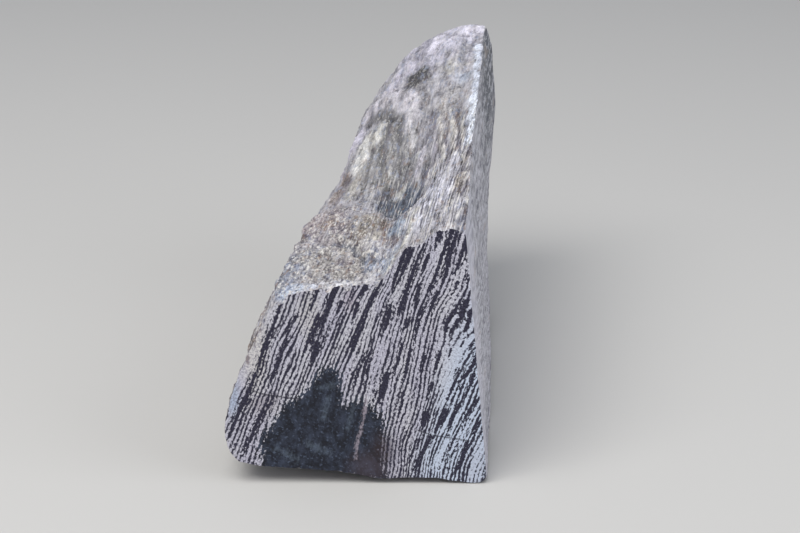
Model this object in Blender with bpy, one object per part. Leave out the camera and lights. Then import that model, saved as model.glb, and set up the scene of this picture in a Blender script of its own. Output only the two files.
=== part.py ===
"""Flow-banded rhyolite: one loose, wedge-shaped hand specimen.

The stone is a single solid, made the way the real one was: a block that loses
one surface after another.  Its front end (-Y) is sawn flat across the flow
bands.  Its right side (+X) parted along a band, so it is smooth, upright in
front and slightly twisted towards the rear.  The rest is broken and weathered: a
low terrace on the left, a steep riser up to a sharp ridge, a hollow behind the
terrace, a ribbed upper mass that climbs to the peak, a parted left flank, an
overhanging rear end, and an uneven underside that is worn flat where the stone
rests.

Shapes are drawn in millimetres, with X = 0 near the middle of the sawn face,
Y = 0 on that face and Z = 0 on the ground.  The finished stone is then moved so
that its origin is the bottom centre of its bounding box.
"""

import bmesh
import bpy
import numpy as np
from mathutils import Matrix, Vector, noise

MM = 0.001

# Driving dimensions, in millimetres
FACE_RIGHT = 17.2          # bottom right corner of the sawn face
BASE_LENGTH = 95.0         # from the sawn face to the foot of the rear end
PEAK_HEIGHT = 69.8         # highest point, near the rear end of the ridge
PEAK_Y = 97.0              # how far back it is
NOSE_REACH = 125.0         # how far back the overhanging rear end reaches
BLOCK_LEFT = -50.0         # the rough block is larger than the stone
BLOCK_RIGHT = 32.0
BLOCK_REAR = 140.0
BLOCK_TOP = 85.0
BLOCK_BOTTOM = -12.0
BAND_NORMAL = Vector((-0.94, 0.06, 0.34)).normalized()     # square to the flow bands

# Depth of the rough relief on each surface, in millimetres
RIB_RELIEF = 1.7           # lengthwise ribs of the riser and the upper mass
TERRACE_RELIEF = 0.55
FLANK_RELIEF = 0.8
FLANK_PLATE = 1.3          # thickness of the plates broken off the flank
UNDERSIDE_RELIEF = 1.5
REST_WEAR = 1.1            # taken off the resting patch in addition
REAR_RELIEF = 2.2
REAR_SPLINTER = 4.0

# Sawn face: its top edge (X, Z), bottom edge (X, Z) and left edge (Z, X)
FACE_TOP = [(-60, 37.5), (-23.5, 38.8), (-18.7, 40.6), (-10.5, 41.6), (-5.0, 42.0), (-3.6, 42.3),
            (-1.5, 45.4), (1.1, 50.2), (4.2, 49.7), (6.4, 52.7), (9.4, 53.5), (12.4, 52.5), (30, 51.5)]
FACE_BOTTOM = [(-50, 4.8), (-31.6, 4.6), (-27, 3.8), (-19.7, 3.4), (-9.8, 2.5), (-4, 1.0), (0, 1.4),
               (8, 1.2), (13.8, 0.2), (FACE_RIGHT, 0.0)]
FACE_LEFT_EDGE = [(-5, -28), (4.6, -31.6), (6.5, -33.4), (11.0, -34.4), (17, -33.3), (24, -30.9),
                  (33.7, -26.4), (38.8, -23.5), (60, -12)]

# Ridge between the upper surface and the right face: (Y, X) and (Y, Z)
RIDGE_X = [(0, 12.4), (10, 13.4), (27, 14.3), (49, 16.2), (71, 17.9), (PEAK_Y, 19.5), (NOSE_REACH, 22.0),
           (140, 23.0)]
RIDGE_HEIGHT = [(0, 52.5), (4, 55.2), (10, 57.8), (27, 60.8), (49, 64.8), (71, 68.0), (86, 69.2),
                (PEAK_Y, PEAK_HEIGHT), (108, 67.0), (116, 61.0), (NOSE_REACH, 54.0), (135, 46.0)]

# Foot of the right face, which twists from here up to the ridge: (Y, X)
SIDE_FOOT_X = [(0, FACE_RIGHT), (20, 18.5), (40, 19.6), (63, 20.6), (95, 21.9), (140, 23.4)]

# Upper surface behind the sawn face: (X, Y, Z)
TERRACE = [(-23.2, 10, 39.3), (-23.2, 20, 39.3), (-19, 12, 40.2), (-12, 12, 41.0), (-6, 10, 41.4),
           (-3, 14, 42.6), (-21.4, 36, 38.4), (-18, 32, 39.8), (-12, 32, 42.0), (-6, 32, 43.8),
           (-17.6, 51, 38.8), (-14, 47, 41.0), (-9, 46, 43.4), (-4, 45, 43.2), (-28, 12, 38.0),
           (-28, 50, 35.0)]
RISER = [(1, 17, 47.6), (5, 14, 51.4), (9, 14, 55.0), (-1.5, 32, 43.6), (2, 30, 47.4), (6, 28, 52.0),
         (10, 30, 56.6), (0, 44, 43.0), (2.5, 44, 45.4), (5, 44, 50.2), (8, 45, 55.4),
         (12, 45, 60.6)]
UPPER_MASS = [(-14.3, 61, 40.2), (-10, 60, 43.4), (-6, 60, 46.6), (-1, 60, 50.6), (4, 60, 55.4),
              (9, 60, 61.0), (13.5, 60, 64.6), (-12.6, 74, 44.2), (-9, 75, 48.0), (-5, 77, 52.4),
              (-1, 80, 57.4), (4, 80, 61.6), (9, 79, 65.4), (14, 78, 67.8), (-10.8, 88, 46.2),
              (-6.6, 96, 52.4), (-2, 97, 59.0), (2.3, 97, 64.0), (7, 95, 65.9), (12, 95, 67.3),
              (17.4, 96, 70.5)]
BEHIND_THE_CREST = [(-20, 96, 34), (-10, 108, 40), (-4, 108, 46), (2, 108, 55), (8, 108, 61),
                    (14, 108, 65), (-4, 122, 38), (6, 122, 47), (14, 122, 52), (20, 136, 42),
                    (0, 136, 32)]

# Low step that crosses the terrace: its line (X, Y) and its height
LEDGE = [(-22, 34), (-14, 29), (-9.7, 23.5), (-6, 15.5), (-3, 13)]
LEDGE_STEP = 1.8

# Swellings and pits of the upper surface: centre (X, Y), reach in X and Y, height
SWELLS = [
    ((-6.5, 33), (4.0, 5.0), 1.2),
    ((-13, 41), (3.0, 5.0), 0.7),
    ((0.5, 43), (3.4, 7.0), -1.2),
    ((3.5, 40), (2.6, 6.0), -1.2),
    ((-4, 70), (2.2, 14.0), 1.2),
    ((4, 88), (4.0, 7.0), -1.2),
    ((12, 84), (3.0, 9.0), 0.9),
]
# The same on the right face: centre (Y, Z), reach in Y and Z, height
SIDE_SWELLS = [((118, 46), (22, 16), 1.7), ((92, 22), (24, 16), -0.5)]

# Left flank, where a band parted: its foot and its rim (Y, X), the height of the rim, and
# how the flank bows between them (share of that height, X)
FOOT_X = [(0, -31.6), (30, -32.6), (60, -30.0), (92, -25.0), (125, -17.0)]
RIM_X = [(0, -23.5), (20, -23.4), (36, -21.4), (51, -17.6), (61, -15.0), (74, -13.8), (88, -12.6),
         (110, -8.0), (125, -4.0)]
RIM_HEIGHT = 40.0
FLANK_BOW = [(0, 0), (0.1, -2.2), (0.25, -3.0), (0.5, -1.8), (0.75, -0.4), (1, 0.4)]

# Rear end: how far back it reaches at each height, on its right and left sides
REAR_RIGHT = [(-5, 92), (0, BASE_LENGTH), (15, 99), (30, 107), (38, 116), (46, NOSE_REACH),
              (56, 124), (64, 118), (80, 110)]
REAR_LEFT = [(-5, 86), (0, 90), (12, 97), (28, 101), (45, 104), (60, 102), (80, 100)]

# Underside: its height along the left (Y, Z), how far it rises at the rear and at the
# right, and the flat patch that carries the stone
FOOT_HEIGHT = [(0, 4.6), (20, 3.8), (60, 2.6), (95, 4.5)]
REAR_LIFT = 3.4
RIGHT_LIFT = 0.8
REST_X = (-21.0, 11.0)
REST_Y = (14.0, 80.0)

# Chips knocked off the edges: centre and radii of each shell-shaped bite
CHIPS = [
    ((20.2, 62, 70.2), (4.4, 19, 4.2)),
    ((16.2, 24, 65.4), (3.4, 7, 4.2)),
    ((22.8, 84, 73.0), (4.0, 8, 4.4)),
    ((20.4, -1.5, 8.0), (3.6, 3.2, 7.0)),
    ((-37.2, -0.5, 22.5), (4.2, 4.0, 5.5)),
    ((24.5, 128, 47), (5.0, 7, 9.0)),
]

# The cut surfaces reach this far, a little more than the block, and have these grids
ACROSS = (BLOCK_LEFT - 1, BLOCK_RIGHT + 1)
LENGTHWISE = (-1, BLOCK_REAR + 1)
UPRIGHT = (BLOCK_BOTTOM - 2, BLOCK_TOP + 2)
BEYOND = 5.0               # thickness of a cutter outside the block
TOP_GRID = 0.9
FLANK_GRID = 1.1
PLAIN_GRID = 1.3

WELD = 0.02                # points closer than this are one
WORN = 0.06                # anything this close to the ground is worn level
TRIANGLES = 9400           # the joined surfaces are thinned to this many


def along(table, value):
    """Read a table of (position, value) pairs, straight between its points."""
    positions, values = zip(*table)
    return float(np.interp(value, positions, values))


def ease(low, high, value):
    """Go smoothly from 0 at low to 1 at high."""
    t = min(max((value - low) / (high - low), 0.0), 1.0)
    return t * t * (3 - 2 * t)


def swelling(table, a, b):
    """Sum of low rounded rises, and of pits where the height is negative."""
    total = 0.0
    for centre, reach, height in table:
        distance = ((a - centre[0]) / reach[0]) ** 2 + ((b - centre[1]) / reach[1]) ** 2
        total += height * np.exp(-distance)
    return total


def side_x(y, z):
    """X of the right face, ruled from its foot to the ridge, fuller at the nose."""
    foot, ridge = along(SIDE_FOOT_X, y), along(RIDGE_X, y)
    ruled = foot + (ridge - foot) * z / along(RIDGE_HEIGHT, y)
    return ruled + swelling(SIDE_SWELLS, y, z)


def thin_plate(points):
    """Smooth sheet z(x, y) that passes through every given point."""
    points = np.array(points, float)
    places = points[:, :2]
    count = len(points)

    def kernel(a, b):
        square = ((a[:, None, :] - b[None, :, :]) ** 2).sum(2)
        return 0.5 * square * np.log(square + 1e-9)

    system = np.zeros((count + 3, count + 3))
    system[:count, :count] = kernel(places, places)
    system[:count, count] = system[count, :count] = 1
    system[:count, count + 1:] = places
    system[count + 1:, :count] = places.T
    weights = np.linalg.solve(system, np.append(points[:, 2], [0, 0, 0]))

    def height(x, y):
        spread = kernel(np.array([[x, y]]), places)[0]
        return float(spread @ weights[:count] + weights[count:] @ (1, x, y))

    return height


def broad_top():
    """Upper surface without its small forms."""
    edges = [(x, 0.0, z) for x, z in FACE_TOP[1:-1]]
    for y in range(5, 136, 10):
        height = along(RIDGE_HEIGHT, y)
        edges.append((side_x(y, height), y, height))
    return thin_plate(TERRACE + RISER + UPPER_MASS + BEHIND_THE_CREST + edges)


def ledge(x, y):
    """Low broken step that crosses the terrace."""
    line_y = along(LEDGE, x)
    strength = ease(-1.0, -4.5, x) * ease(-19, -14, x) * ease(50, 36, y) * ease(0, 6, y)
    return LEDGE_STEP * strength * (ease(line_y - 1.2, line_y + 1.2, y) - 0.5)


def ribs(x, y, z):
    """Lengthwise relief, sharp along its crests, where flow bands differ in hardness."""
    across = BAND_NORMAL.dot(Vector((x, y, z)))
    across += 1.8 * noise.noise(Vector((0.05 * x, 0.03 * y, 3.0 + 0.05 * z)))
    coarse = 0.45 - 1.9 * abs(noise.noise(Vector((0.2 * across, 0.014 * y, 7.5))))
    fine = noise.noise(Vector((0.6 * across, 0.025 * y, 1.5)))
    return coarse + 0.45 * fine


def rubble(x, y, z, size, octaves=3):
    """Irregular grainy relief whose largest lumps are about the given size."""
    return noise.fractal(Vector((x, y, z)) / size, 0.8, 2.0, octaves)


def top_z(x, y, sheet):
    """Height of the upper surface."""
    if y <= 0:
        return along(FACE_TOP, x)
    z = sheet(x, y) + ledge(x, y) + swelling(SWELLS, x, y)
    ribbed = ease(-8, 4, x + 0.3 * (y - 20))
    near_ridge = ease(5, 1, side_x(y, z) - x)
    z += ribbed * ease(2, 14, y) * (1 - 0.7 * near_ridge) * RIB_RELIEF * ribs(x, y, z)
    z += (1 - ribbed) * ease(0, 5, y) * TERRACE_RELIEF * rubble(x, y, 5, 5)
    return z


def flank_x(y, z):
    """X of the left flank, a parting along the flow bands with plates broken off."""
    foot_z = along(FOOT_HEIGHT, y)
    rise = min(max(z - foot_z, 0.0) / (RIM_HEIGHT - foot_z), 1.1)
    x = along(FOOT_X, y) + rise * (along(RIM_X, y) - along(FOOT_X, y)) + along(FLANK_BOW, rise)
    edge = rubble(y, z, 8, 9, 2) * 0.35
    plate = noise.noise(Vector((0.03 * y + 0.02 * z, 0.06 * z - 0.015 * y, 3.1))) + 0.25 * edge
    x -= FLANK_PLATE * (ease(-0.05, 0.05, plate) - 0.45) + FLANK_RELIEF * rubble(y, z, 2, 13, 3)
    behind = ease(0, 12, y)
    return (1 - behind) * along(FACE_LEFT_EDGE, z) + behind * x


def bottom_z(x, y):
    """Height of the underside: uneven, and flat at Z = 0 where it rests."""
    inside = ease(REST_X[0] - 9, REST_X[0], x) * ease(REST_X[1] + 8, REST_X[1], x)
    inside *= ease(0, REST_Y[0], y) * ease(REST_Y[1] + 12, REST_Y[1], y)
    front = along(FACE_BOTTOM, x) * ease(26, 0, y)
    left = along(FOOT_HEIGHT, y) * ease(-14, along(FOOT_X, y), x)
    rear = REAR_LIFT * ease(72, BASE_LENGTH, y)
    right = RIGHT_LIFT * ease(4, FACE_RIGHT, x) * ease(0, 10, y)
    z = max(front, left) + rear + right + ease(0, 5, y) * UNDERSIDE_RELIEF * rubble(x, y, 11, 11, 2)
    return max(0.0, z - REST_WEAR * inside)


def rear_y(x, z):
    """Y of the rear end, a stepped break across the bands."""
    rightward = ease(-24, 18, x)
    y = (1 - rightward) * along(REAR_LEFT, z) + rightward * along(REAR_RIGHT, z)
    splinter = noise.noise(Vector((0.13 * BAND_NORMAL.dot(Vector((x, 60, z))), 0.03 * z, 5.5)))
    return y + REAR_SPLINTER * splinter + REAR_RELIEF * rubble(x, 3, z, 15, 3)


def grid_cutter(name, rule, first, second, far, step=PLAIN_GRID):
    """Slab whose inner side follows a drawn surface; everything in it is cut away."""
    counts = [round((high - low) / step) for low, high in (first, second)]
    mesh = bmesh.new()
    rows = []
    for i in range(counts[0] + 1):
        a = first[0] + (first[1] - first[0]) * i / counts[0]
        values = [second[0] + (second[1] - second[0]) * j / counts[1] for j in range(counts[1] + 1)]
        rows.append([mesh.verts.new(Vector(rule(a, b)) * MM) for b in values])
    for row, next_row in zip(rows, rows[1:]):
        for j in range(counts[1]):
            mesh.faces.new((row[j], row[j + 1], next_row[j + 1], next_row[j]))
    outer = bmesh.ops.extrude_face_region(mesh, geom=mesh.faces[:])["geom"]
    axis, distance = far
    for vertex in outer:
        if isinstance(vertex, bmesh.types.BMVert):
            vertex.co[axis] = distance * MM
    bmesh.ops.recalc_face_normals(mesh, faces=mesh.faces)
    return cutter_object(name, mesh)


def chip_cutter(name, centre, radii):
    """Shell-shaped bite out of an edge."""
    mesh = bmesh.new()
    place = Matrix.Translation(Vector(centre) * MM)
    shape = place @ Matrix.Diagonal((*radii, 1)) @ Matrix.Scale(MM, 4)
    bmesh.ops.create_icosphere(mesh, subdivisions=3, radius=1.0, matrix=shape)
    return cutter_object(name, mesh)


def cutter_object(name, mesh):
    """Turn a bmesh into an object that only serves as a Boolean cutter."""
    data = bpy.data.meshes.new(name)
    mesh.to_mesh(data)
    mesh.free()
    cutter = bpy.data.objects.new(name, data)
    cutter.hide_render = True
    cutter.display_type = "WIRE"
    bpy.context.scene.collection.objects.link(cutter)
    return cutter


def rough_block():
    """Plain block that holds the whole stone, with the sawn face in front."""
    low = Vector((BLOCK_LEFT, 0, BLOCK_BOTTOM)) * MM
    high = Vector((BLOCK_RIGHT, BLOCK_REAR, BLOCK_TOP)) * MM
    mesh = bmesh.new()
    shape = Matrix.Translation((low + high) / 2) @ Matrix.Diagonal((*(high - low), 1))
    bmesh.ops.create_cube(mesh, size=1.0, matrix=shape)
    data = bpy.data.meshes.new("stone")
    mesh.to_mesh(data)
    mesh.free()
    stone = bpy.data.objects.new("stone", data)
    bpy.context.scene.collection.objects.link(stone)
    return stone


def cutters():
    """Every surface that the block loses material to."""
    sheet = broad_top()
    made = [
        grid_cutter("cut_top", lambda x, y: (x, y, top_z(x, y, sheet)), ACROSS, LENGTHWISE,
                    (2, BLOCK_TOP + BEYOND), TOP_GRID),
        grid_cutter("cut_flank", lambda y, z: (flank_x(y, z), y, z), LENGTHWISE, UPRIGHT,
                    (0, BLOCK_LEFT - BEYOND), FLANK_GRID),
        grid_cutter("cut_bottom", lambda x, y: (x, y, bottom_z(x, y)), ACROSS, LENGTHWISE,
                    (2, BLOCK_BOTTOM - BEYOND)),
        grid_cutter("cut_side", lambda y, z: (side_x(y, z), y, z), LENGTHWISE, UPRIGHT,
                    (0, BLOCK_RIGHT + BEYOND)),
        grid_cutter("cut_rear", lambda x, z: (x, rear_y(x, z), z), ACROSS, UPRIGHT,
                    (1, BLOCK_REAR + BEYOND)),
    ]
    made += [chip_cutter(f"cut_chip_{i}", *chip) for i, chip in enumerate(CHIPS)]
    return made


def rhyolite_material():
    """Grey, slightly lilac volcanic stone, matt where broken."""
    material = bpy.data.materials.new("rhyolite")
    material.use_nodes = True
    shader = material.node_tree.nodes["Principled BSDF"]
    shader.inputs["Base Color"].default_value = (0.30, 0.29, 0.33, 1)
    shader.inputs["Roughness"].default_value = 0.75
    shader.inputs["Metallic"].default_value = 0.0
    return material


def apply_modifier(stone, modifier):
    """Keep a modifier's result as the stone's own mesh."""
    bpy.context.view_layer.update()
    evaluated = stone.evaluated_get(bpy.context.evaluated_depsgraph_get())
    result = bpy.data.meshes.new_from_object(evaluated)
    stone.modifiers.remove(modifier)
    stone.data = result


def cut_away(stone, cutter):
    """Remove a cutter's volume from the stone."""
    modifier = stone.modifiers.new(cutter.name, "BOOLEAN")
    modifier.object = cutter
    modifier.operation = "DIFFERENCE"
    modifier.solver = "EXACT"
    apply_modifier(stone, modifier)


def thin_out(stone):
    """Weld the seams left by the cuts and thin the mesh to its triangle budget."""
    mesh = bmesh.new()
    mesh.from_mesh(stone.data)
    bmesh.ops.remove_doubles(mesh, verts=mesh.verts, dist=WELD * MM)
    bmesh.ops.triangulate(mesh, faces=mesh.faces)
    mesh.to_mesh(stone.data)
    count = len(mesh.faces)
    mesh.free()
    modifier = stone.modifiers.new("thin", "DECIMATE")
    modifier.ratio = TRIANGLES / count
    modifier.use_collapse_triangulate = True
    apply_modifier(stone, modifier)


def wear_flat(stone):
    """Level everything within a hair of the ground, so the stone rests on a true flat."""
    for vertex in stone.data.vertices:
        if vertex.co.z < WORN * MM:
            vertex.co.z = 0.0


def centre_on_base(stone):
    """Put the world origin at the bottom centre of the stone's bounding box."""
    points = np.array([vertex.co[:] for vertex in stone.data.vertices])
    middle = (points.min(0) + points.max(0)) / 2
    stone.location = (-middle[0], -middle[1], 0)


def main():
    for item in list(bpy.data.objects):
        bpy.data.objects.remove(item, do_unlink=True)
    stone = rough_block()
    for cutter in cutters():
        cut_away(stone, cutter)
    thin_out(stone)
    wear_flat(stone)
    centre_on_base(stone)
    stone.data.materials.clear()
    stone.data.materials.append(rhyolite_material())


main()
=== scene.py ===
"""Looks of a hand specimen of flow-banded rhyolite.

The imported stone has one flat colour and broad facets. This script smooths a copy of its
mesh, roughens the broken surfaces and gives each kind of surface a procedural material.

Lengths are millimetres in the drawing frame: X = 0 near the middle of the sawn face,
Y = 0 on that face, Z = 0 on the ground. A pair such as FIBRE_Z = (30, 44) is a soft edge:
nothing at the first value, all of it at the second.
"""

import math

import bmesh
import bpy
import numpy as np
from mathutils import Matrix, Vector, geometry, noise


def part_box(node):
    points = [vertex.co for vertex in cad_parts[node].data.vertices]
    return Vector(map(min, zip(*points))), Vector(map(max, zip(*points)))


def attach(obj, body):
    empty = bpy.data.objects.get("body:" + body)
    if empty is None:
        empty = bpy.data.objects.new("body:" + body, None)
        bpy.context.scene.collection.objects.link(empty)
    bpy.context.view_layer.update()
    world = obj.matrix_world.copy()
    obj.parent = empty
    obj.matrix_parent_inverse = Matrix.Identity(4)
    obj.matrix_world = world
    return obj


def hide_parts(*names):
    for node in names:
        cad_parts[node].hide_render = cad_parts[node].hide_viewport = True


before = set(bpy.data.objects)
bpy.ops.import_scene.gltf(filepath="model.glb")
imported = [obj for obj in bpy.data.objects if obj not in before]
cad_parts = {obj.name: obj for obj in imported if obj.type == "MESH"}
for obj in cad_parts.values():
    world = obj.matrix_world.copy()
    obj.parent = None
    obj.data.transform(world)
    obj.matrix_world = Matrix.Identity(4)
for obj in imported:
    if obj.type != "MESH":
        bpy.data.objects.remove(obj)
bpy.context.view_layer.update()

MM = 0.001
NODE = "stone"
FACE_RIGHT = 17.2  # bottom right corner of the sawn face
ON_FACE = 0.01  # this close, a vertex is on the sawn face
MERGE_DISTANCE = 0.005
NOISE_SEED = 28  # else the clock seeds the vector noise

# Kinds of surface, the first that fits: axis, sign and least share of the normal. Then
# the length of edges on each kind.
FACING = [("side", 0, 1, 0.85), ("top", 2, 1, 0.3), ("under", 2, -1, 0.5), ("rear", 1, 1, 0.5)]
EDGE = {"sawn": 0.42, "top": 0.47, "side": 0.8, "flank": 0.7, "rear": 0.85, "under": 1.4}
COARSER = 0.006  # growth of edges for each millimetre to the rear
LONGEST = 1.35  # share of their length; longer edges are halved
SPLIT_ROUNDS = 7
FACE_GRID = 0.36  # spacing of the points inside the sawn face
ROW_HEIGHT = 0.866  # of a row, as a share of that spacing
RIM_CLEARANCE = 0.3  # share that these points keep from the rim
GRID_PRECISION = 1e-5
INSIDE_ONLY = 1  # keep the triangles inside the rim
SHARP_EDGE = 52  # degrees; sharper edges stay creases
SMOOTHING = 22  # rounds that take the facets out
SMOOTHING_STEP = 0.5
SHADING_ANGLE = 42  # degrees; sharper edges are shaded sharp

# Directions of normals, and where small forms are strong
SIDE_FACING = (0.75, 0.93)
SIDE_MATERIAL = 0.88  # further right, the side's material
UP_FACING = (0.1, 0.5)
UNDER_FACING = (-0.3, -0.8)
UPPER_Z = (30, 34)
FIBRE_X = (-8, 3)  # the fibrous part; it moves left to the rear
FIBRE_LEAN = 0.3
FIBRE_START_Y = 20
FIBRE_Z = (30, 44)
FIBRE_Y = (80, 30)
FACE_CALM = 0.4  # share of relief left at the sawn face
FACE_CALM_Y = (0, 1.6)
FACE_FLAT_Y = (0, 0.3)  # nearer, nothing moves out of its plane
REST_CALM = 0.95  # share of relief taken off where it rests
REST_CALM_Z = (1, 0)
CREST_CORNER = (20.2, 102.6)  # right end of the crest, worn (X, Y)
CORNER_REACH = 5.0
CORNER_WEAR = (0.52, 1.3)  # to the left, and down
CORNER_Z = (62, 67)

# Small forms; stretches in cycles for each millimetre
FRACTAL = (0.7, 2.1, 3)  # dimension, lacunarity and octaves
GRAIN_SIZE = 1.8
GRAIN_HEIGHT = 0.22
CHIPS = [(2.6, 1, 0.8), (1.1, 0.5, 0.7)]  # size, height, tilt
CHIP_BEND = 0.5
CHIP_BEND_SIZE = 1.5
SPLINTERS = [(1, 0.85, 0.8), (2.3, 0.4, 0.7)]  # fineness, height, tilt
SPLINTER_STRETCH = (0.75, 0.30, 0.10)  # across, dip, strike
SPLINTER_BEND = 0.25
SPLINTER_BEND_SIZE = 3.0
FLUTE_STRETCH = (0.42, 0.03, 0.10)  # across, strike, dip
FLUTE_DEPTH = 0.5
ALL_SIDE = 0.99
STEP_STRETCH = (0.5, 0.04, 0.09)  # across, strike, dip
STEP_HEIGHT = 0.20
LEDGE_STRETCH = (0.30, 0.12, 0.05)  # across, dip, strike
LEDGE_HEIGHT = 0.35
LEDGE_TILT = 1.2
SIDE_GRAIN_SIZE = 1.4
SIDE_GRAIN_HEIGHT = 0.07
FACET_RISE = 0.25  # of whole facets, as a share of their tilt
RIM_CHIP_STRETCH = (0.55, 0.25)
RIM_CHIP_SLICE = 4.0
RIM_CHIP_EDGE = (0, 0.45)
RIM_CHIP_REACH = (2.2, 0)
SHALLOWER = 0.65  # share that the chips lose on the right
SHALLOWER_X = (-4, 2)
PLATE_SLACK = 2.0  # how loosely a thin plate follows its values
TINY = 1e-9
DIP = (0.34, 0.94)  # down the bands' dip, in X and Z

# Flow bands. Each line is one band's trace on the sawn face, from the top down, with
# its place across the bands.
TRACES = [
    (-26, [(-22.7, 38), (-27.6, 25.4), (-29.9, 18.6), (-34.1, 9)]),
    (-22.6, [(-19.7, 35.7), (-24.6, 23.3), (-28.7, 12.7), (-30.8, 7.3)]),
    (-18.3, [(-13.1, 41.3), (-15.1, 36.4), (-18.7, 27)]),
    (-10, [(-3.8, 42.3), (-6.7, 36.1), (-9.8, 27.3)]),
    (-5.7, [(1.5, 49.3), (-2.3, 38.8), (-7.2, 21.2)]),
    (-2.8, [(4.5, 49.9), (-0.4, 34.3), (-4.9, 18)]),
    (-0.4, [(7.5, 52.9), (1, 30.6), (-2.3, 16.9)]),
    (3.5, [(11.5, 53.1), (4.6, 29.5), (1.9, 15.9), (-0.6, 4.1)]),
    (5.7, [(12.9, 46.5), (8.2, 34.7), (5.4, 22.2), (1, 1.9)]),
    (9.6, [(14.6, 32.6), (10.6, 26), (6.4, 12.7), (3.9, 3)]),
    (15, [(15.5, 22.6), (11.7, 13.7), (8.3, 4.1)]),
    (18.2, [(16.2, 15.9), (12.2, 7.3), (10.8, 1.9)]),
]
BAND_STRIKE = -0.11  # how the bands drift across with Y
BAND_PITCH = 0.82  # from one thin dark band to the next
WIDE_PITCH = 3.7  # from one group of bands to the next

# Stout dark bands on the sawn face: width, then (X, Z) along the band
DARK_BANDS = [
    (0.9, (-22.7, 38), (-24.5, 33.1), (-27.6, 25.4), (-29.9, 18.6), (-31.5, 15.5), (-34.1, 9)),
    (0.9, (-19.7, 35.7), (-21.1, 32.9)),
    (0.8, (-21.1, 32.9), (-22.9, 28.1), (-25.6, 20.5)),
    (0.4, (-25.6, 18), (-28.7, 12.7)),
    (0.8, (-15.6, 41), (-18, 35.1)),
    (0.6, (-13.1, 41), (-15.5, 35.7)),
    (1, (-15.5, 35.7), (-18.7, 27)),
    (0.7, (-12, 41.5), (-13.8, 37), (-15.3, 32.6)),
    (1.3, (-11.3, 38.2), (-12.2, 35.3)),
    (0.6, (-12.8, 35.1), (-15, 29.5), (-16.6, 26.4)),
    (1.5, (-16.1, 29.7), (-17.4, 25.2)),
    (1.3, (-6.5, 41.3), (-8, 39.4)),
    (1.5, (-8.4, 37.8), (-9.2, 34.1)),
    (0.9, (-3.6, 42.3), (-5.3, 39), (-7.3, 34.3), (-9.8, 27)),
    (0.4, (-2.1, 40.4), (-5.8, 31.6)),
    (1.7, (1.7, 48.9), (-0.6, 43.3), (-1.5, 40.4)),
    (1.7, (-1.7, 37.2), (-4, 31.2)),
    (0.9, (4.7, 49.9), (3.2, 46.5), (1.5, 41.5), (-0.4, 34.3)),
    (1.5, (7.7, 52.7), (6.4, 48.7)),
    (0.9, (5.3, 47.7), (4, 43.7)),
    (0.9, (3.6, 41.9), (2.5, 35.1)),
    (1.7, (1.9, 34.7), (0.4, 32.6)),
    (0.6, (9.6, 52.7), (7.2, 45.3), (6.3, 41.9), (3.6, 33.5)),
    (0.4, (10.3, 53.3), (9.1, 50.5)),
    (1.1, (11.5, 52.9), (9.8, 49.1), (7.6, 41.3)),
    (1.3, (11.4, 46.1), (10.1, 44.1)),
    (0.9, (10.8, 42.3), (9.5, 39.2)),
    (0.8, (12.5, 50.3), (11.4, 46.5)),
    (1.1, (12.7, 43.9), (12.5, 42.3)),
    (1.1, (12.6, 38.4), (10.5, 34.1)),
    (0.8, (13.4, 36.4), (12.7, 32.6), (11.7, 29.1)),
    (1.1, (9.6, 32.9), (8.6, 30.4)),
    (0.6, (14.6, 30.6), (13.3, 28.5)),
    (1.3, (7, 40.2), (5.7, 35.9)),
    (0.6, (5.7, 41.9), (4, 35.7), (2.5, 29.5)),
    (1.3, (7.5, 27.9), (6.6, 23.5)),
    (0.9, (4.6, 27.5), (3.7, 23.7)),
    (0.9, (6.2, 21.4), (5.1, 18)),
    (0.7, (9.8, 28.5), (8.9, 25.8)),
    (1, (15, 27.9), (13.3, 23.9), (11.4, 21.8)),
    (0.7, (11.2, 24.5), (10.1, 20.8), (8.9, 18)),
    (0.7, (14.3, 23.3), (13, 19.5), (10.1, 14.2), (9.4, 10.3)),
    (0.9, (15.1, 18.4), (13.4, 15), (11.9, 11)),
    (0.6, (12, 21), (10.5, 19.3)),
    (1.2, (9, 15.7), (6.8, 11)),
    (0.7, (15.2, 13.7), (14.1, 10.1)),
    (1.5, (4.9, 14.8), (4.1, 11.6)),
    (0.9, (13.1, 8.8), (12, 4.5), (10.1, 1.7)),
    (0.7, (10.2, 9.5), (7.7, 3.2)),
    (0.4, (11.4, 8.8), (9.2, 4.3)),
    (0.9, (6.1, 10.1), (3.7, 5.4), (2.4, 2.3)),
    (0.9, (3.5, 9.5), (1.8, 4.9)),
    (1.4, (-2.7, 23.3), (-4.1, 17.4)),
    (0.6, (-4.7, 20.1), (-5.6, 16.5)),
    (0.8, (-26.9, 15.5), (-29.2, 9.9), (-30.8, 6)),
    (0.6, (-29.9, 10.1), (-31.4, 6)),
    (0.7, (0.4, 29.5), (-1.7, 22.2)),
    (0.6, (2.1, 28.5), (0.4, 21.2)),
    (0.6, (-6.7, 28.1), (-9.3, 20.1)),
    (0.6, (-5.4, 28.5), (-7.4, 21.2)),
]
# Thin fractures across the bands
CRACKS = [
    (0.3, (-29.8, 20.5), (-26.8, 19.3), (-22.7, 18.6), (-19.4, 18.2)),
    (0.25, (3.5, 11.6), (6.3, 10.5), (8.8, 10.1), (14.1, 9.2)),
]
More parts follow.
